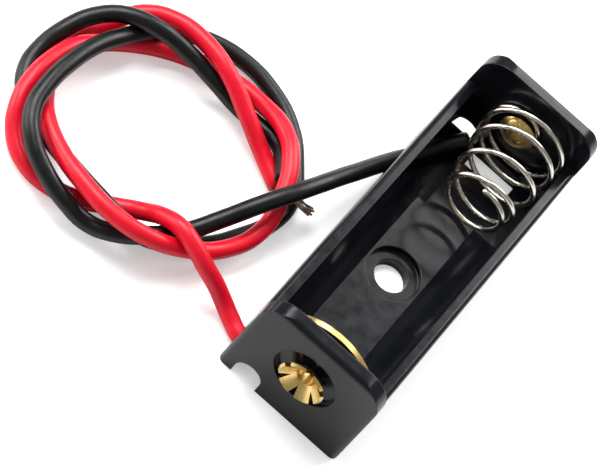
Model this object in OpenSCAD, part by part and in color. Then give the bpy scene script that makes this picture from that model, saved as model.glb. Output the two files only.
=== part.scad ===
// Single-cell holder with a conical spring contact and two flying leads.
// X runs across the tray, +Y points from the positive end to the spring end,
// +Z is up. The origin is the middle of the flat base.

/* [Cell] */
// Diameter of the cylindrical cell that the tray takes
cell_d = 10.3; // [9.6:0.1:11]
// Radial clearance between the cell and the trough
cell_gap = 0.1; // [0.05:0.05:0.3]

/* [Housing] */
// Width across the base
body_w = 13; // [12.6:0.1:15]
// Length over both end walls
body_l = 35.8; // [34.5:0.1:42]
// Height of the end walls
end_h = 11.8; // [11.6:0.1:13]
// Height of the side walls
side_h = 7; // [6.4:0.1:8]
// Thickness of the floor
floor_t = 1.7; // [1.5:0.1:2.2]
// Thickness of the end wall that carries the positive contact
near_t = 1.45; // [1.2:0.05:2]
// Thickness of the end wall behind the spring
far_t = 1.25; // [1.1:0.05:2]
// Draft of the two long sides, in degrees
draft = 1.3; // [0:0.1:2]
// Radius of the upper corners of the end walls
crown_r = 2.6; // [1.5:0.1:3]
// Radius of the upright corners of the housing
corner_r = 0.6; // [0.3:0.1:2]
// Rounding of the long top edges
edge_r = 0.5; // [0.2:0.1:0.6]
// Width of the flat pad at the bottom of the trough
pad_w = 5.7; // [5.2:0.1:6.4]
// Length of the spring bay, from the far wall to the foot of its ramp
bay_l = 8.05; // [7.6:0.05:9]
// Horizontal run of the ramp between the trough and the spring bay
ramp_run = 4.3; // [3:0.1:5]
// Distance of the screw hole from the middle of the base, towards the positive end
screw_y = 0.6; // [-2:0.1:3]
// Diameter of the screw hole
screw_d = 3.2; // [2.5:0.1:3.6]
// Diameter of the counterbore for the screw's head
head_d = 5.2; // [4.6:0.1:5.6]
// Depth of the counterbore
head_t = 0.6; // [0.3:0.1:0.9]
// Width of the arched notch in each end wall
notch_w = 2.65; // [2:0.05:3]
// Distance from the middle of the end wall to the middle of its notch
notch_x = 3.7; // [3.4:0.1:4]
// Diameter of the round recess in the outer face of each end wall
recess_d = 6.1; // [5.2:0.1:6.6]
// Depth of that recess
recess_t = 0.5; // [0.3:0.05:0.6]

/* [Contacts] */
// Height of the contacts' centre above the base
contact_z = 6.6; // [6.5:0.1:6.9]
// Diameter of the positive contact's disc
disc_d = 10.2; // [8:0.1:10.2]
// Thickness of the disc's brass sheet
sheet_t = 0.5; // [0.3:0.05:0.8]
// Height of the drawn boss that holds the disc off the end wall
boss_t = 0.4; // [0.2:0.05:0.6]
// Outer diameter of the crimped tubes
tube_d = 2.4; // [2:0.1:3]
// Wall of the crimped tubes
tube_t = 0.3; // [0.2:0.05:0.4]
// Number of petals that each tube end is split into
petals = 6; // [4:1:8]
// Distance that the petals spread beyond the tube
petal_l = 1.05; // [0.6:0.05:1.3]
// Half the width of the gap between two petals, 1 mm beyond their tips
petal_gap = 0.8; // [0.3:0.1:1]
// Distance that the petals stand proud of the end faces
petal_out = 0.75; // [0.2:0.05:0.9]
// Diameter of the rivet's inner head
rivet_head_d = 3.6; // [3.2:0.1:4.4]
// Height of the rivet's inner head
rivet_head_t = 1; // [0.4:0.1:1.1]

/* [Spring] */
// Wire diameter of the spring
spring_wire = 0.5; // [0.4:0.05:0.7]
// Outer diameter of the widest turn, against the end wall
spring_base_d = 8.4; // [7:0.1:8.6]
// Outer diameter of the narrowest turn, which meets the cell
spring_tip_d = 5.6; // [4:0.1:6]
// Free length of the spring from the end wall
spring_l = 9.85; // [9:0.05:10.5]
// Number of turns from the wall to the free end
spring_turns = 4.6; // [3.6:0.1:6]
// Sideways offset of the widest turn from the rivet
spring_base_x = 0.9; // [0:0.1:0.9]
// Sideways offset of the narrowest turn from the rivet
spring_tip_x = 1.4; // [0:0.1:1.6]

/* [Leads] */
// Outside diameter of the insulation
lead_d = 1.6; // [1.2:0.1:1.6]
// Diameter of the twisted bundle of copper strands
core_d = 0.6; // [0.4:0.05:0.7]
// Clearance round each lead where it passes through a side wall
lead_gap = 0.35; // [0.1:0.05:0.4]

/* [Hidden] */

$fn = 64;
eps = 0.05;                          // overshoot of a cut through a face

near_y = -body_l / 2;                // outer face of the positive end wall
far_y = body_l / 2;                  // outer face of the spring end wall
near_in = near_y + near_t;           // its inner face, which the disc lies on
far_in = far_y - far_t;              // its inner face, which the spring lies on
trough_r = cell_d / 2 + cell_gap;    // radius of the trough
trough_z = floor_t + cell_d / 2 - 0.45;   // the cell's flanks bear on the trough
bay_y = far_in - bay_l;              // foot of the ramp
half_w = body_w / 2;
web_t = 0.4;                         // floor left under the far lead's groove
window_x0 = -1.6;                    // ends of the window under the spring
window_x1 = 3.15;

// Route of each lead, measured from the middle of the positive end face:
// along the solder tail, out through the side wall and round the loose loop.
red_route = [
    [-3.3, 2.6, 0.8], [-4.9, 2.4, 0.8], [-6.4, 2.5, 0.8], [-7.7, 3.2, 0.8],
    [-9.2, 3.8, 1.2], [-10.7, 3.9, 2.4], [-12.2, 3.5, 3.8], [-14, 3.8, 4.7],
    [-16, 4.3, 4.9], [-17.6, 4.7, 3.8], [-19.2, 5, 1.8], [-21.5, 4, 0.8],
    [-24, 2, 0.8], [-26.5, 1, 0.8],
    [-29.5, 1, 0.8], [-32, 2.5, 1], [-33.5, 4.5, 2.2], [-34, 7, 2.6],
    [-34, 9.5, 2.6], [-33.5, 12.5, 2.4], [-32.2, 15, 1.5], [-30.5, 17.5, 0.8],
    [-28, 19.5, 0.8], [-25, 21, 0.8], [-21.5, 22, 0.8], [-18.5, 21.5, 1.7],
    [-15, 20, 3.4], [-13, 17.5, 4.1], [-11.5, 14.5, 3.6], [-10.5, 11, 2.2],
    [-12, 7, 2.1], [-14.5, 4, 2.9], [-17.5, 1.5, 4.2], [-21, 1, 4.2],
    [-24, 1.5, 4], [-28, 3, 3], [-31, 5, 2.6], [-32.5, 7.5, 1.6],
    [-34, 10.5, 0.8], [-34, 13.5, 0.8], [-33, 17.5, 0.8], [-31.5, 20.2, 2.3],
    [-28.5, 21.2, 3.3], [-25.5, 21, 3.8], [-22, 20, 4], [-19, 19, 2.7],
    [-15.5, 18, 1], [-12.5, 16.5, 0.8]];
black_route = [
    [-2.8, 33.3, 1.9], [-4.1, 31.5, 1.5], [-4.8, 30, 1.3], [-5.5, 28.5, 1.2],
    [-6.4, 27, 1.3], [-7.3, 24.5, 2.2], [-8.1, 22, 3.1], [-9, 19.5, 4],
    [-9.8, 17, 4.8], [-10.9, 14, 5.5], [-12.5, 11, 4.9], [-14, 8.5, 3.4],
    [-15.5, 5.5, 2.6], [-17.5, 3, 2.5],
    [-20, 0.8, 2.2], [-22, 0.5, 1.2], [-24.5, 0, 2.4], [-27.5, 0.5, 2.9],
    [-30, 1.5, 3.6], [-32, 3.5, 3.9], [-32.5, 6.5, 4.1], [-32.5, 9.5, 4.1],
    [-32, 13.5, 3.6], [-31, 16, 2.9], [-30, 18.5, 2.5], [-28.5, 21.2, 1.2],
    [-26, 23.5, 0.8], [-22, 24.5, 0.8], [-18.5, 24, 0.8], [-15, 22.5, 0.8],
    [-12.5, 19.5, 0.8], [-10.5, 16.5, 0.8], [-10.5, 13.5, 0.8], [-12, 10, 0.8],
    [-13.5, 7, 0.8], [-16, 4.7, 0.8], [-18, 3.4, 0.8], [-20, 3, 1.4],
    [-22.5, 2.5, 2.6], [-25, 3, 2.2], [-28.5, 4.5, 0.8], [-31.5, 5, 0.8],
    [-34, 6.5, 0.8], [-35.3, 8.5, 0.8], [-35.6, 10.5, 1], [-35.2, 13, 2.4],
    [-34, 16, 3.1], [-32, 17.5, 4.1], [-29, 18.5, 4.2], [-26, 19.5, 2.9],
    [-22.5, 19.5, 2.3], [-20, 20, 0.9], [-17.5, 20, 0.8], [-15, 20, 1.3],
    [-13.5, 18, 2.3], [-12.5, 16.5, 2.4]];

// ---- sweeps --------------------------------------------------------------

function unit(v) = v / norm(v);
function heading(p, i) =
    unit(p[min(i + 1, len(p) - 1)] - p[max(i - 1, 0)]);

// Tube of radius r along the points p. "up" is a direction that the path
// never runs along, and it keeps the rings from twisting.
module tube(p, r, sides = 8, up = [0, 0, 1]) {
    n = len(p);
    polyhedron(
        points = [for (i = [0:n - 1])
            let (t = heading(p, i), s = unit(cross(t, up)), u = cross(s, t))
            for (k = [0:sides - 1])
                p[i] + r * (cos(360 * k / sides) * s
                            + sin(360 * k / sides) * u)],
        faces = concat(
            [[for (k = [0:sides - 1]) k]],
            [[for (k = [0:sides - 1]) n * sides - 1 - k]],
            [for (i = [0:n - 2]) for (k = [0:sides - 1])
                let (a = i * sides + k, b = i * sides + (k + 1) % sides)
                [a, a + sides, b + sides, b]]),
        convexity = 10);
}

// ---- housing -------------------------------------------------------------

// Cross-section of a bar with drafted sides and two rounded upper corners
module front_outline(h, r) {
    cx = half_w - (h - r) * tan(draft) - r / cos(draft);
    tx = cx + r * cos(draft);
    tz = h - r + r * sin(draft);
    polygon([[-half_w, 0], [half_w, 0], [tx, tz], [cx, h - r], [cx, h],
             [-cx, h], [-cx, h - r], [-tx, tz]]);
    for (side = [-1, 1]) translate([side * cx, h - r]) circle(r);
}

module along_y(y0, y1) {
    translate([0, y1, 0]) rotate([90, 0, 0]) linear_extrude(y1 - y0) children();
}

module plan_outline() {
    square([body_w, body_l - 2 * corner_r], center = true);
    square([body_w - 2 * corner_r, body_l], center = true);
    for (x = [-1, 1]) for (y = [-1, 1])
        translate([x * (half_w - corner_r), y * (far_y - corner_r)])
            circle(corner_r);
}

// End walls, rounded along their outer top edges
module end_wall(y0, y1, out) {
    round_y = out < 0 ? y0 + edge_r : y1 - edge_r;
    difference() {
        along_y(y0, y1) front_outline(end_h, crown_r);
        translate([0, round_y, end_h - edge_r]) rotate([0, 90, 0])
            linear_extrude(body_w, center = true) difference() {
                translate([-edge_r - eps, out < 0 ? -edge_r - eps : 0])
                    square(edge_r + eps);
                circle(edge_r);
            }
    }
}

// Space above the cell seat: the round trough, its flat pad and the spring bay
module cell_space() {
    intersection() {
        along_y(near_in, bay_y + eps) translate([0, trough_z]) circle(trough_r);
        translate([-half_w, near_y, floor_t]) cube([body_w, body_l, end_h]);
    }
    intersection() {
        union() {
            translate([-trough_r, near_in, trough_z])
                cube([2 * trough_r, far_in - near_in, end_h]);
            translate([-pad_w / 2, near_in, floor_t])
                cube([pad_w, far_in - near_in, end_h]);
        }
        translate([-half_w, near_in, 0]) cube([body_w, far_in - near_in, 2 * end_h]);
    }
    rotate([90, 0, 90]) linear_extrude(2 * trough_r, center = true)
        polygon([[bay_y, floor_t],
                 [bay_y - ramp_run, side_h],
                 [bay_y - ramp_run, end_h + 1],
                 [far_in, end_h + 1],
                 [far_in, floor_t + 0.4],
                 [far_in - 0.65, floor_t]]);
}

// Arched notch through the foot of an end wall
module arch(y0, y1) {
    along_y(y0, y1) translate([-notch_x, 0]) {
        translate([-notch_w / 2, -1]) square([notch_w, 1 + 1.2]);
        translate([0, 1.2]) circle(notch_w / 2);
    }
}

// Openings that the two leads come in through, and the windows over them
module lead_ways() {
    // positive end: slot in the side wall and the gap in the floor behind it
    translate([-half_w - 1, near_in, -1])
        cube([half_w + 1 - 5, lead_d + 2 * lead_gap, 1 + lead_d + lead_gap]);
    translate([-5.1, near_in, -1])
        cube([5.1 - notch_x + notch_w / 2, lead_d + 2 * lead_gap, side_h]);
    // spring end: slot and groove over a thin web, window under the spring
    translate([-half_w - 1, far_y - 10.6, web_t])
        cube([half_w + 1 - 5, 6, lead_d + 2 * lead_gap]);
    translate([-5.1, far_y - 10.6, web_t])
        cube([3.1, 8.4, floor_t]);
    translate([window_x0, far_y - 4.5, -1])
        cube([window_x1 - window_x0, 2.8, 1 + floor_t + 0.01]);
}

module housing() {
    color([0.13, 0.13, 0.14])
    difference() {
        intersection() {
            union() {
                along_y(near_y, far_y) front_outline(side_h, edge_r);
                end_wall(near_y, near_in, -1);
                end_wall(far_in, far_y, 1);
            }
            linear_extrude(end_h + 1) plan_outline();
        }
        cell_space();
        lead_ways();
        arch(near_y - 1, near_in + eps);
        arch(far_in - 0.7, far_y + 1);
        // screw hole and its counterbore
        translate([0, -screw_y, -1]) cylinder(d = screw_d, h = floor_t + 2);
        translate([0, -screw_y, floor_t - head_t])
            cylinder(d = head_d, h = head_t + 1);
        // groove across the pad that the disc's edge drops into
        translate([0, disc_y + seat_gap, contact_z]) rotate([90, 0, 0])
            cylinder(d = disc_d + 2 * seat_gap, h = disc_y + seat_gap - near_in);
        // round recesses and the holes for the two contacts
        for (side = [-1, 1]) translate([0, side * far_y, contact_z])
            rotate([90, 0, 0])
                cylinder(d = recess_d, h = 2 * recess_t, center = true);
        translate([0, 0, contact_z]) rotate([90, 0, 0])
            cylinder(d = tube_d, h = body_l + 2, center = true);
    }
}

// ---- contacts ------------------------------------------------------------

disc_y = near_in + boss_t + sheet_t;  // front face of the positive disc
seat_gap = 0.05;                      // clearance of the disc in its groove
boss_d = 5;                           // foot of the disc's boss, on the wall

// Tube end that is split into petals and flared out over the recess. It lies
// along +Z with the recess floor at z = 0.
module flared_end() {
    inner = tube_d / 2 - tube_t;
    tip_r = tube_d / 2 + petal_l;
    tip_z = recess_t + petal_out;
    difference() {
        rotate_extrude() polygon([[inner, 0], [inner + tube_t, 0],
            [tip_r, tip_z - tube_t * 0.7], [tip_r - tube_t * 0.7, tip_z],
            [inner, tube_t]]);
        for (a = [0:petals - 1]) rotate((a + 0.5) * 360 / petals)
            translate([0, 0, -1]) linear_extrude(4)
                polygon([[tube_d / 2, 0], [tip_r + 1, -petal_gap],
                         [tip_r + 1, petal_gap]]);
    }
}

module positive_contact() {
    color([0.72, 0.58, 0.32])
    translate([0, 0, contact_z]) {
        difference() {
            union() {
                translate([0, disc_y, 0]) rotate([90, 0, 0])
                    cylinder(d = disc_d, h = sheet_t);
                translate([0, disc_y - sheet_t, 0]) rotate([90, 0, 0])
                    cylinder(d1 = boss_d + 2 * boss_t, d2 = boss_d, h = boss_t);
                translate([0, near_in, 0]) rotate([90, 0, 0])
                    cylinder(d = tube_d, h = near_t - recess_t);
            }
            translate([0, disc_y + 1, 0]) rotate([90, 0, 0])
                cylinder(d = tube_d - 2 * tube_t, h = 4);
        }
        translate([0, near_y + recess_t, 0]) rotate([90, 0, 0]) flared_end();
    }
}

module negative_rivet() {
    head_r = rivet_head_d / 2;
    dome_r = (head_r * head_r + rivet_head_t * rivet_head_t)
             / (2 * rivet_head_t);
    head_y = far_in - spring_wire - 0.05;     // the spring's tail lies behind it
    color([0.72, 0.58, 0.32])
    translate([0, 0, contact_z]) {
        // domed head
        translate([0, head_y, 0]) rotate([90, 0, 0]) rotate_extrude()
            intersection() {
                translate([0, rivet_head_t - dome_r]) circle(dome_r);
                square([head_r, rivet_head_t]);
            }
        // neck through the spring's tail, then the shank through the wall
        translate([0, far_in, 0]) rotate([90, 0, 0])
            cylinder(d = tube_d - 0.2, h = spring_wire + 0.05);
        difference() {
            translate([0, far_y - recess_t, 0]) rotate([90, 0, 0])
                cylinder(d = tube_d, h = far_t - recess_t);
            translate([0, far_y, 0]) rotate([90, 0, 0])
                cylinder(d = tube_d - 2 * tube_t, h = far_t - 0.2);
        }
        translate([0, far_y - recess_t, 0]) rotate([-90, 0, 0]) flared_end();
    }
}

// ---- spring --------------------------------------------------------------

tail_turns = 0.75;                    // flat spiral from the rivet outwards
tail_r = tube_d / 2 - 0.1 + spring_wire / 2 + 0.05;
base_r = (spring_base_d - spring_wire) / 2;
tip_r = (spring_tip_d - spring_wire) / 2;
seat_y = far_in - spring_wire / 2 - 0.01;
coil_h = spring_l - spring_wire;
closed = spring_wire * 1.1;           // rise of the closed turn at the free end

// Centre line of the wire after s turns from the rivet
function coil_point(s) =
    let (w = s - tail_turns,
         flat = w < 0,
         u = flat ? 0 : w / spring_turns,
         g = flat ? s / tail_turns : 1,
         ease = g * g * (3 - 2 * g),
         r = flat ? tail_r + (base_r - tail_r) * ease
                  : base_r + (tip_r - base_r) * u * u,
         cx = flat ? spring_base_x * ease
                   : spring_base_x + (spring_tip_x - spring_base_x) * u,
         rise = flat ? 0 : lookup(w, [[0, 0], [0.6, closed + 0.2], [1.6, coil_h * 0.29],
                  [spring_turns - 1, coil_h - closed],
                  [spring_turns, coil_h]]),
         a = 360 * (s - tail_turns - spring_turns) + 100)
    [cx + r * cos(a), seat_y - rise, contact_z - 0.15 * ease + r * sin(a)];

module negative_spring() {
    step = 1 / 18;
    color([0.75, 0.74, 0.7])
    tube([for (s = [0:step:tail_turns + spring_turns + step / 2]) coil_point(s)],
         spring_wire / 2, 8, [0, 1, 0]);
}

// ---- leads ---------------------------------------------------------------

module lead(route) { translate([0, near_y, 0]) tube(route, lead_d / 2); }

module red_lead() { color([0.85, 0.08, 0.12]) lead(red_route); }
module black_lead() { color([0.1, 0.1, 0.11]) lead(black_route); }

tail_y = far_in - near_y;            // the far wall, as the routes count

// Twisted bundle of bare strands along the points p
module strands(p) {
    color([0.8, 0.5, 0.3]) translate([0, near_y, 0])
        tube(p, core_d / 2, 8, [0.3, 1, 0.2]);
}

module red_inner_strands()
    strands([[-3.2, 2.6, 0.8], [-3, 2.65, 0.85], [-2.85, 2.7, 1.2],
             [-2.8, 2.75, 1.9], [-2.85, 2.75, 2.7], [-2.9, 2.7, 3.5]]);
module red_solder() {
    color([0.7, 0.7, 0.7])
    translate([-2.9, disc_y, contact_z - 2.3]) rotate([-90, 0, 0])
        cylinder(r1 = 0.85, r2 = 0.45, h = 0.7);
}
module red_bare_end()
    strands([[-12.4, 16.45, 0.8], [-12, 16.25, 0.85], [-11.4, 16, 1.5],
             [-10.6, 15.9, 2.2], [-9.7, 16, 2], [-8.9, 16.5, 1.4]]);
module black_inner_strands()
    strands([[-2.74, 33.38, 1.92], [-2.55, tail_y - 1.15, 2.1],
             [-2.35, tail_y - 1.25, 2.4], [-2.35, tail_y - 1.3, 2.8]]);
module black_solder() {
    color([0.7, 0.7, 0.7])
    translate([-2.35, far_in, 2.75]) rotate([90, 0, 0])
        cylinder(r1 = 0.65, r2 = 0.45, h = 0.9);
}
module black_bare_end()
    strands([[-12.45, 16.4, 2.4], [-12.25, 16.1, 2.4], [-12.15, 15.4, 2.5],
             [-12.1, 14.5, 2.3]]);

housing();
positive_contact();
negative_rivet();
negative_spring();
red_lead();
red_inner_strands();
red_solder();
red_bare_end();
black_lead();
black_inner_strands();
black_solder();
black_bare_end();
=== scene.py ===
# %% [markdown]
# # A single-cell holder with two flying leads
#
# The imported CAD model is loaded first, as a fixed frame. Everything below
# either dresses one of its nodes with a material or stands in for a node
# with a finer piece in the same place. Lengths are in metres, as Blender's
# are, and `MM` turns the millimetres of the drawing into them.

# %% Load the frame
import math
import bmesh
import bpy
from mathutils import Matrix, Vector


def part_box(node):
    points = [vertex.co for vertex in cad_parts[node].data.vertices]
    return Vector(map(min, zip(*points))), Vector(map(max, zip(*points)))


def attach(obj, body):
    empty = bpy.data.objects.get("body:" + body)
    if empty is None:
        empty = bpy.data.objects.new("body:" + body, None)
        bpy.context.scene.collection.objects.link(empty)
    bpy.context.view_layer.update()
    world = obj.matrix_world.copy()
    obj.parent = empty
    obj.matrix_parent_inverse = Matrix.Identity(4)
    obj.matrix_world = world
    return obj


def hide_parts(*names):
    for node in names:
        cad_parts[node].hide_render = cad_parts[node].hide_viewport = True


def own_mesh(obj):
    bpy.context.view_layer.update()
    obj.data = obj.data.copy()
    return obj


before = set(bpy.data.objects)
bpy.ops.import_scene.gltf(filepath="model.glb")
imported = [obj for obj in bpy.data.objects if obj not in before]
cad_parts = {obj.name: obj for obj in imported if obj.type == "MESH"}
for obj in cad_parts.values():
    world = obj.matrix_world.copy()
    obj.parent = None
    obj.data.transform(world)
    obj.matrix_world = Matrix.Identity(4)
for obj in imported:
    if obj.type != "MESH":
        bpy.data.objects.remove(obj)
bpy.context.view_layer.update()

MM = 0.001
housing_lo, housing_hi = (Vector(c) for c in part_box("housing"))
near_y, far_y = housing_lo.y, housing_hi.y
print("housing", (housing_hi - housing_lo) / MM, "mm")

# %% [markdown]
# ## The camera
#
# The holder is seen from above its positive end through a long lens, and the
# camera is rolled, so that the tray runs up to the right. A camera that is
# rolled is easiest to build from three axes: where it looks, then right and
# down in its own picture. A long lens a quarter of a metre away keeps the
# far end of the tray nearly as wide as the near end.

# %% Camera
look_at = Vector((-8.25, -5.08, 3.12)) * MM
lens_at = Vector((-5.61, -151.5, 217.3)) * MM
roll = math.radians(40.83)

ahead = (look_at - lens_at).normalized()
level = ahead.cross(Vector((0, 0, 1))).normalized()
below = ahead.cross(level)
right = math.cos(roll) * level - math.sin(roll) * below
down = math.sin(roll) * level + math.cos(roll) * below

camera = bpy.data.objects.new("camera", bpy.data.cameras.new("camera"))
camera.data.lens = 182.5
camera.data.sensor_width = 36
camera.data.clip_start = 0.01
camera.matrix_world = Matrix.Translation(lens_at) @ Matrix(
    (right, -down, -ahead)).transposed().to_4x4()
bpy.context.scene.collection.objects.link(camera)
bpy.context.scene.camera = camera
print("camera is", round((look_at - lens_at).length / MM), "mm away")

# %% [markdown]
# ## The routes of the two leads
#
# A lead is a length of soft wire that keeps the curve it was wound in. Both
# lie in one loose coil of nearly two turns, where they climb over each other
# at every crossing. The points are the ones that the solids follow, measured
# from the middle of the positive end face, so the solid and the curve agree.

# %% Routes
red_route = [
    (-3.3, 2.6, 0.8), (-4.9, 2.4, 0.8), (-6.4, 2.5, 0.8), (-7.7, 3.2, 0.8),
    (-9.2, 3.8, 1.2), (-10.7, 3.9, 2.4), (-12.2, 3.5, 3.8), (-14, 3.8, 4.7),
    (-16, 4.3, 4.9), (-17.6, 4.7, 3.8), (-19.2, 5, 1.8), (-21.5, 4, 0.8),
    (-24, 2, 0.8), (-26.5, 1, 0.8), (-29.5, 1, 0.8), (-32, 2.5, 1),
    (-33.5, 4.5, 2.2), (-34, 7, 2.6), (-34, 9.5, 2.6), (-33.5, 12.5, 2.4),
    (-32.2, 15, 1.5), (-30.5, 17.5, 0.8), (-28, 19.5, 0.8), (-25, 21, 0.8),
    (-21.5, 22, 0.8), (-18.5, 21.5, 1.7), (-15, 20, 3.4), (-13, 17.5, 4.1),
    (-11.5, 14.5, 3.6), (-10.5, 11, 2.2), (-12, 7, 2.1), (-14.5, 4, 2.9),
    (-17.5, 1.5, 4.2), (-21, 1, 4.2), (-24, 1.5, 4), (-28, 3, 3), (-31, 5, 2.6),
    (-32.5, 7.5, 1.6), (-34, 10.5, 0.8), (-34, 13.5, 0.8), (-33, 17.5, 0.8),
    (-31.5, 20.2, 2.3), (-28.5, 21.2, 3.3), (-25.5, 21, 3.8), (-22, 20, 4),
    (-19, 19, 2.7), (-15.5, 18, 1), (-12.5, 16.5, 0.8)]
black_route = [
    (-2.8, 33.3, 1.9), (-4.1, 31.5, 1.5), (-4.8, 30, 1.3), (-5.5, 28.5, 1.2),
    (-6.4, 27, 1.3), (-7.3, 24.5, 2.2), (-8.1, 22, 3.1), (-9, 19.5, 4),
    (-9.8, 17, 4.8), (-10.9, 14, 5.5), (-12.5, 11, 4.9), (-14, 8.5, 3.4),
    (-15.5, 5.5, 2.6), (-17.5, 3, 2.5), (-20, 0.8, 2.2), (-22, 0.5, 1.2),
    (-24.5, 0, 2.4), (-27.5, 0.5, 2.9), (-30, 1.5, 3.6), (-32, 3.5, 3.9),
    (-32.5, 6.5, 4.1), (-32.5, 9.5, 4.1), (-32, 13.5, 3.6), (-31, 16, 2.9),
    (-30, 18.5, 2.5), (-28.5, 21.2, 1.2), (-26, 23.5, 0.8), (-22, 24.5, 0.8),
    (-18.5, 24, 0.8), (-15, 22.5, 0.8), (-12.5, 19.5, 0.8), (-10.5, 16.5, 0.8),
    (-10.5, 13.5, 0.8), (-12, 10, 0.8), (-13.5, 7, 0.8), (-16, 4.7, 0.8),
    (-18, 3.4, 0.8), (-20, 3, 1.4), (-22.5, 2.5, 2.6), (-25, 3, 2.2),
    (-28.5, 4.5, 0.8), (-31.5, 5, 0.8), (-34, 6.5, 0.8), (-35.3, 8.5, 0.8),
    (-35.6, 10.5, 1), (-35.2, 13, 2.4), (-34, 16, 3.1), (-32, 17.5, 4.1),
    (-29, 18.5, 4.2), (-26, 19.5, 2.9), (-22.5, 19.5, 2.3), (-20, 20, 0.9),
    (-17.5, 20, 0.8), (-15, 20, 1.3), (-13.5, 18, 2.3), (-12.5, 16.5, 2.4)]


def placed(route):
    """Turn a route's millimetres into places in the shared frame."""
    return [Vector((x * MM, near_y + y * MM, z * MM)) for x, y, z in route]


def eased(points):
    """Ease every inner point towards its neighbours, as soft wire does."""
    inner = [(before + 4 * here + after) / 6 for before, here, after
             in zip(points, points[1:], points[2:])]
    return [points[0]] + inner + [points[-1]]


def length_of(points):
    """Add up the straight steps between the points."""
    return sum((b - a).length for a, b in zip(points, points[1:]))


for name, route in (("red", red_route), ("black", black_route)):
    print(name, "lead", round(length_of(placed(route)) / MM), "mm long")

# %% [markdown]
# ## Lead insulation
#
# Insulation is one round profile pushed along a path, and that is what a
# Bezier curve with a bevel depth is. Automatic handles make it pass through
# every point with no kink, and filled caps close the cut ends.

# %% Round wire helper
def round_wire(name, paths, radius, sides, steps):
    """Push a round profile along each path; `steps` cuts go between points."""
    data = bpy.data.curves.new(name, "CURVE")
    data.dimensions = "3D"
    data.bevel_depth = radius
    data.bevel_resolution = sides
    data.resolution_u = steps
    data.use_fill_caps = True
    for path in paths:
        spline = data.splines.new("BEZIER")
        spline.bezier_points.add(len(path) - 1)
        for knot, point in zip(spline.bezier_points, path):
            knot.co = point
            knot.handle_left_type = knot.handle_right_type = "AUTO"
    piece = bpy.data.objects.new(name, data)
    bpy.context.scene.collection.objects.link(piece)
    return piece


# %% From curve to mesh
WELD = 0.001 * MM


def as_mesh(name, curve_piece):
    """Turn a curve's tube into a mesh of its own and drop the curve."""
    bpy.context.view_layer.update()
    graph = bpy.context.evaluated_depsgraph_get()
    mesh = bpy.data.meshes.new_from_object(curve_piece.evaluated_get(graph))
    bpy.data.objects.remove(curve_piece)
    form = bmesh.new()
    form.from_mesh(mesh)
    bmesh.ops.remove_doubles(form, verts=form.verts, dist=WELD)
    bmesh.ops.recalc_face_normals(form, faces=form.faces)
    for face in form.faces:
        face.smooth = len(face.verts) == 4
    form.to_mesh(mesh)
    form.free()
    piece = bpy.data.objects.new(name, mesh)
    bpy.context.scene.collection.objects.link(piece)
    return piece


# %% Standing in for a node
def stand_in(piece, node):
    """Let a piece take a CAD node's place and its body."""
    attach(piece, "holder")
    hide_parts(node)


# %% The two leads
LEAD_R = 0.8 * MM


def lead(color, path):
    """Sweep one lead's insulation along its path."""
    curve = round_wire(color + "_path", [path], LEAD_R, 5, 6)
    piece = as_mesh(color + "_insulation", curve)
    stand_in(piece, color + "_lead")
    return piece


red_path, black_path = eased(placed(red_route)), eased(placed(black_route))
red_insulation = lead("red", red_path)
black_insulation = lead("black", black_path)
for piece in (red_insulation, black_insulation):
    print(piece.name, "has", len(piece.data.polygons), "faces")

# %% [markdown]
# ## Bare strands
#
# The copper core is seven fine strands with a slight twist: one down the
# middle and six around it. Each strand is its own thin wire, offset sideways
# from the core's path, and the offset turns as the path goes on. Towards a
# free end the strands fan apart.

# %% Strand bundles
STRAND_R = 0.11 * MM
OUTER_STRANDS = 6
TWIST = 200  # degrees from one end of a bundle to the other


def bundle(name, route, fan=1.0):
    """Lay the strands around a route, `fan` times as far apart at its end."""
    path = placed(route)
    last = len(path) - 1
    strands = []
    for k in range(OUTER_STRANDS + 1):
        strand = []
        for i, point in enumerate(path):
            t = i / last
            along = (path[min(i + 1, last)] - path[max(i - 1, 0)]).normalized()
            side = along.cross(Vector((0, 1, 0.2))).normalized()
            up = side.cross(along)
            a = math.radians(360 / OUTER_STRANDS * k + TWIST * t)
            reach = 2 * STRAND_R * (1 + (fan - 1) * t * t)
            if k == OUTER_STRANDS:
                reach = 0
            strand.append(
                point + reach * (math.cos(a) * side + math.sin(a) * up))
        strands.append(strand)
    return as_mesh(name, round_wire(name + "_path", strands, STRAND_R, 2, 5))


red_tail = bundle("red_tail", [
    (-3.2, 2.6, 0.8), (-3, 2.65, 0.85), (-2.85, 2.7, 1.2), (-2.8, 2.75, 1.9),
    (-2.85, 2.75, 2.7), (-2.9, 2.7, 3.5)])
black_tail = bundle("black_tail", [
    (-2.74, 33.38, 1.92), (-2.55, 33.4, 2.1), (-2.35, 33.3, 2.4),
    (-2.35, 33.25, 2.8)])
red_tip = bundle("red_tip", [
    (-12.4, 16.45, 0.8), (-12, 16.25, 0.85), (-11.4, 16, 1.5),
    (-10.6, 15.9, 2.2), (-9.7, 16, 2), (-8.9, 16.5, 1.4)], fan=1.6)
black_tip = bundle("black_tip", [
    (-12.45, 16.4, 2.4), (-12.25, 16.1, 2.4), (-12.15, 15.4, 2.5),
    (-12.1, 14.5, 2.3)], fan=1.3)
for piece, node in (
        (red_tail, "red_inner_strands"), (black_tail, "black_inner_strands"),
        (red_tip, "red_bare_end"), (black_tip, "black_bare_end")):
    stand_in(piece, node)
    print(piece.name, "stands in for", node)

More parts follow.
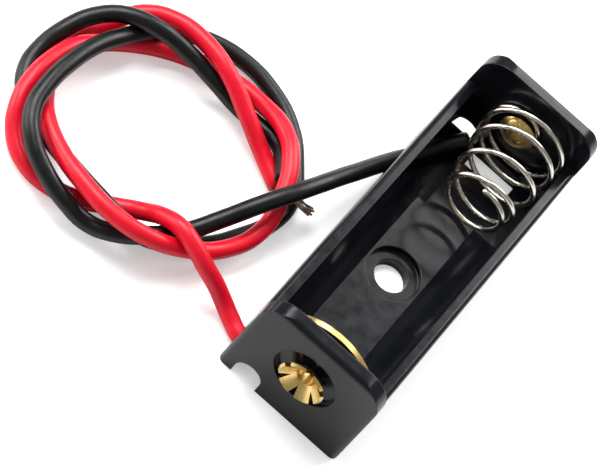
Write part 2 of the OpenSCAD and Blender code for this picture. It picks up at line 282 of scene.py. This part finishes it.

# %% [markdown]
# ## The spring
#
# The spring is one length of round wire. It starts as a flat loop under the
# rivet's head, opens to its widest turn against the wall, and narrows
# towards the cell. The centre line is a formula of how many turns have been
# made, so the radius, the rise and the sideways drift each ease from one end
# to the other.

# %% Spring wire
WIRE_R = 0.25 * MM
tail_turns, spring_turns = 0.75, 4.6
tail_r, base_r, tip_r = 1.4, 3.95, 2.55
base_x, drift_x = 0.9, 0.5        # the widest turn is off centre, the tip more
base_drop = 0.15                  # the widest turn hangs below the rivet
tip_angle = 100                   # degrees, where the wire ends
wall_t, seat, rivet_z = 1.25, 0.26, 6.6
seat_y = far_y / MM - wall_t - seat
rise_at = [(0, 0), (0.6, 0.75), (1.6, 2.71),
           (spring_turns - 1, 8.8), (spring_turns, 9.35)]


def rise(turns):
    """Look up how far the wire stands off its wall, in millimetres."""
    for (t0, r0), (t1, r1) in zip(rise_at, rise_at[1:]):
        if turns <= t1:
            return r0 + (r1 - r0) * (turns - t0) / (t1 - t0)
    return rise_at[-1][1]


def coil_point(s):
    """Place the wire's centre after `s` turns, counted from the rivet."""
    w = s - tail_turns
    g = min(s / tail_turns, 1)
    ease = g * g * (3 - 2 * g)
    u = max(w, 0) / spring_turns
    r = tail_r + (base_r - tail_r) * ease + (tip_r - base_r) * u * u
    x = base_x * ease + drift_x * u
    a = math.radians(360 * (s - tail_turns - spring_turns) + tip_angle)
    return Vector((x + r * math.cos(a), seat_y - (rise(w) if w > 0 else 0),
                   rivet_z - base_drop * ease + r * math.sin(a))) * MM


STEPS_A_TURN = 24
all_turns = tail_turns + spring_turns
steps = round(STEPS_A_TURN * all_turns)
coil = [coil_point(i * all_turns / steps) for i in range(steps + 1)]
spring = as_mesh("spring_wire", round_wire("coil_path", [coil], WIRE_R, 4, 3))
stand_in(spring, "negative_spring")
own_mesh(spring)
print("spring made of", steps, "steps")

# %% [markdown]
# ## Materials
#
# A finish is mostly a base colour, a roughness and a little unevenness in
# both. `finish` starts a material with its flat values. `vary` lets a noise
# move one of them between two stops, and `bump` roughens the surface. Every
# noise reads Object coordinates, so a pattern stays fixed to its piece.

# %% Material helper
def finish(name, color, rough, metal=0.0, **sockets):
    material = bpy.data.materials.new(name)
    material.use_nodes = True
    tree = material.node_tree
    shader = tree.nodes["Principled BSDF"]
    shader.inputs["Base Color"].default_value = (*color, 1)
    shader.inputs["Roughness"].default_value = rough
    shader.inputs["Metallic"].default_value = metal
    for socket, value in sockets.items():
        shader.inputs[socket.replace("_", " ")].default_value = value
    return material, tree, shader


def noise(tree, scale, detail):
    place = tree.nodes.new("ShaderNodeTexCoord")
    grain = tree.nodes.new("ShaderNodeTexNoise")
    grain.inputs["Scale"].default_value = scale
    grain.inputs["Detail"].default_value = detail
    tree.links.new(place.outputs["Object"], grain.inputs["Vector"])
    return grain.outputs["Fac"]


def vary(tree, shader, socket, source, low, high):
    """Drive a shader input between two stops, each a place and a value."""
    node = tree.nodes.new("ShaderNodeValToRGB")
    for element, (at, value) in zip(node.color_ramp.elements, (low, high)):
        color = value if isinstance(value, tuple) else (value,) * 3
        element.position = at
        element.color = (*color, 1)
    tree.links.new(source, node.inputs["Fac"])
    tree.links.new(node.outputs["Color"], shader.inputs[socket])


def bump(tree, shader, source, height, strength):
    node = tree.nodes.new("ShaderNodeBump")
    node.inputs["Strength"].default_value = strength
    node.inputs["Distance"].default_value = height
    tree.links.new(source, node.inputs["Height"])
    tree.links.new(node.outputs["Normal"], shader.inputs["Normal"])


def dress(piece, material):
    """Give one material to a piece, or to the CAD node of that name."""
    if isinstance(piece, str):
        piece = bpy.data.objects[piece]
    piece.data.materials.clear()
    piece.data.materials.append(material)


# %% Moulded black plastic
plastic, tree, shader = finish(
    "moulded_black", (0.006, 0.007, 0.009), 0.2, Specular_IOR_Level=0.3)
vary(tree, shader, "Base Color", noise(tree, 350, 4),
     (0.35, (0.003, 0.0035, 0.005)), (0.7, (0.006, 0.007, 0.0095)))
vary(tree, shader, "Roughness", noise(tree, 900, 3), (0.3, 0.16), (0.75, 0.26))
bump(tree, shader, noise(tree, 1200, 3), 0.01 * MM, 0.5)
soft_edge = tree.nodes.new("ShaderNodeBevel")
soft_edge.samples = 6
soft_edge.inputs["Radius"].default_value = 0.15 * MM
tree.links.new(soft_edge.outputs["Normal"], tree.nodes["Bump"].inputs["Normal"])

# %% Insulation
for name, dark, light, piece in (
        ("red_pvc", (0.6, 0.003, 0.015), (0.7, 0.005, 0.024), red_insulation),
        ("black_pvc", (0.002, 0.0025, 0.0025), (0.005, 0.0055, 0.0055),
         black_insulation)):
    pvc, tree, shader = finish(name, light, 0.36, Specular_IOR_Level=0.3)
    vary(tree, shader, "Base Color", noise(tree, 400, 3),
         (0.3, dark), (0.7, light))
    vary(tree, shader, "Roughness", noise(tree, 1500, 2),
         (0.3, 0.3), (0.7, 0.42))
    bump(tree, shader, noise(tree, 3500, 2), 0.01 * MM, 0.5)
    dress(piece, pvc)
    print(piece.name, "wears", name)

# %% Metals
brass, tree, shader = finish("crimped_brass", (0.7, 0.47, 0.16), 0.26, 1.0)
vary(tree, shader, "Base Color", noise(tree, 700, 4),
     (0.3, (0.6, 0.4, 0.13)), (0.7, (0.82, 0.6, 0.25)))
vary(tree, shader, "Roughness", noise(tree, 1200, 3), (0.3, 0.22), (0.7, 0.4))
bump(tree, shader, noise(tree, 2500, 3), 0.02 * MM, 0.4)

nickel, tree, shader = finish("plated_spring", (0.66, 0.63, 0.56), 0.2, 1.0)
vary(tree, shader, "Roughness", noise(tree, 1500, 3), (0.3, 0.15), (0.7, 0.3))

copper, tree, shader = finish("bare_copper", (0.4, 0.3, 0.24), 0.35, 1.0)
vary(tree, shader, "Base Color", noise(tree, 900, 3),
     (0.3, (0.34, 0.2, 0.13)), (0.7, (0.5, 0.42, 0.36)))

tin, tree, shader = finish("soft_solder", (0.7, 0.7, 0.71), 0.28, 1.0)
bump(tree, shader, noise(tree, 1200, 2), 0.03 * MM, 0.5)

# %% Who wears what
dress("housing", plastic)
dress("positive_contact", brass)
dress("negative_rivet", brass)
dress(spring, nickel)
dress("red_solder", tin)
dress("black_solder", tin)
for piece in (red_tail, black_tail, red_tip, black_tip):
    dress(piece, copper)
print("materials", len(bpy.data.materials))

# %% [markdown]
# ## Floor and light
#
# The holder stands on a white table inside a ring of white cards, so even
# black plastic shows pale streaks. The floor is white paint that also glows
# a little for camera rays: it stays white around the object, yet a shadow
# still darkens it.

# %% Floor
FLOOR_REACH = 3  # metres from the middle to each edge
GLOW = 0.38

floor_mesh = bpy.data.meshes.new("floor")
floor_form = bmesh.new()
bmesh.ops.create_grid(floor_form, x_segments=1, y_segments=1,
                      size=FLOOR_REACH)
floor_form.to_mesh(floor_mesh)
floor_form.free()
floor = bpy.data.objects.new("floor", floor_mesh)
bpy.context.scene.collection.objects.link(floor)

paper, tree, shader = finish("white_paper", (0.9, 0.9, 0.9), 0.8)
light_path = tree.nodes.new("ShaderNodeLightPath")
glow = tree.nodes.new("ShaderNodeMath")
glow.operation = "MULTIPLY"
glow.inputs[1].default_value = GLOW
tree.links.new(light_path.outputs["Is Camera Ray"], glow.inputs[0])
shader.inputs["Emission Color"].default_value = (1, 1, 1, 1)
tree.links.new(glow.outputs[0], shader.inputs["Emission Strength"])
dress(floor, paper)
print("floor laid")

# %% Light
scene = bpy.context.scene
scene.view_settings.view_transform = "Standard"
world = bpy.data.worlds.new("white_tent")
world.use_nodes = True
sky = world.node_tree.nodes["Background"]
sky.inputs["Color"].default_value = (1, 1, 1, 1)
sky.inputs["Strength"].default_value = 0.32
scene.world = world


def softbox(name, at, size, power):
    """Hang a square lamp that faces the holder."""
    lamp = bpy.data.lights.new(name, "AREA")
    lamp.size = size
    lamp.energy = power
    box = bpy.data.objects.new(name, lamp)
    at, aim = Vector(at) * MM, Vector((-8, -5, 3)) * MM
    turn = (aim - at).to_track_quat("-Z", "Y").to_matrix().to_4x4()
    box.matrix_world = Matrix.Translation(at) @ turn
    scene.collection.objects.link(box)


softbox("key", (-150, 60, 260), 0.18, 1.1)
softbox("back", (60, 260, 200), 0.2, 1.0)
softbox("side", (-260, -60, 90), 0.16, 0.5)
print("lit")
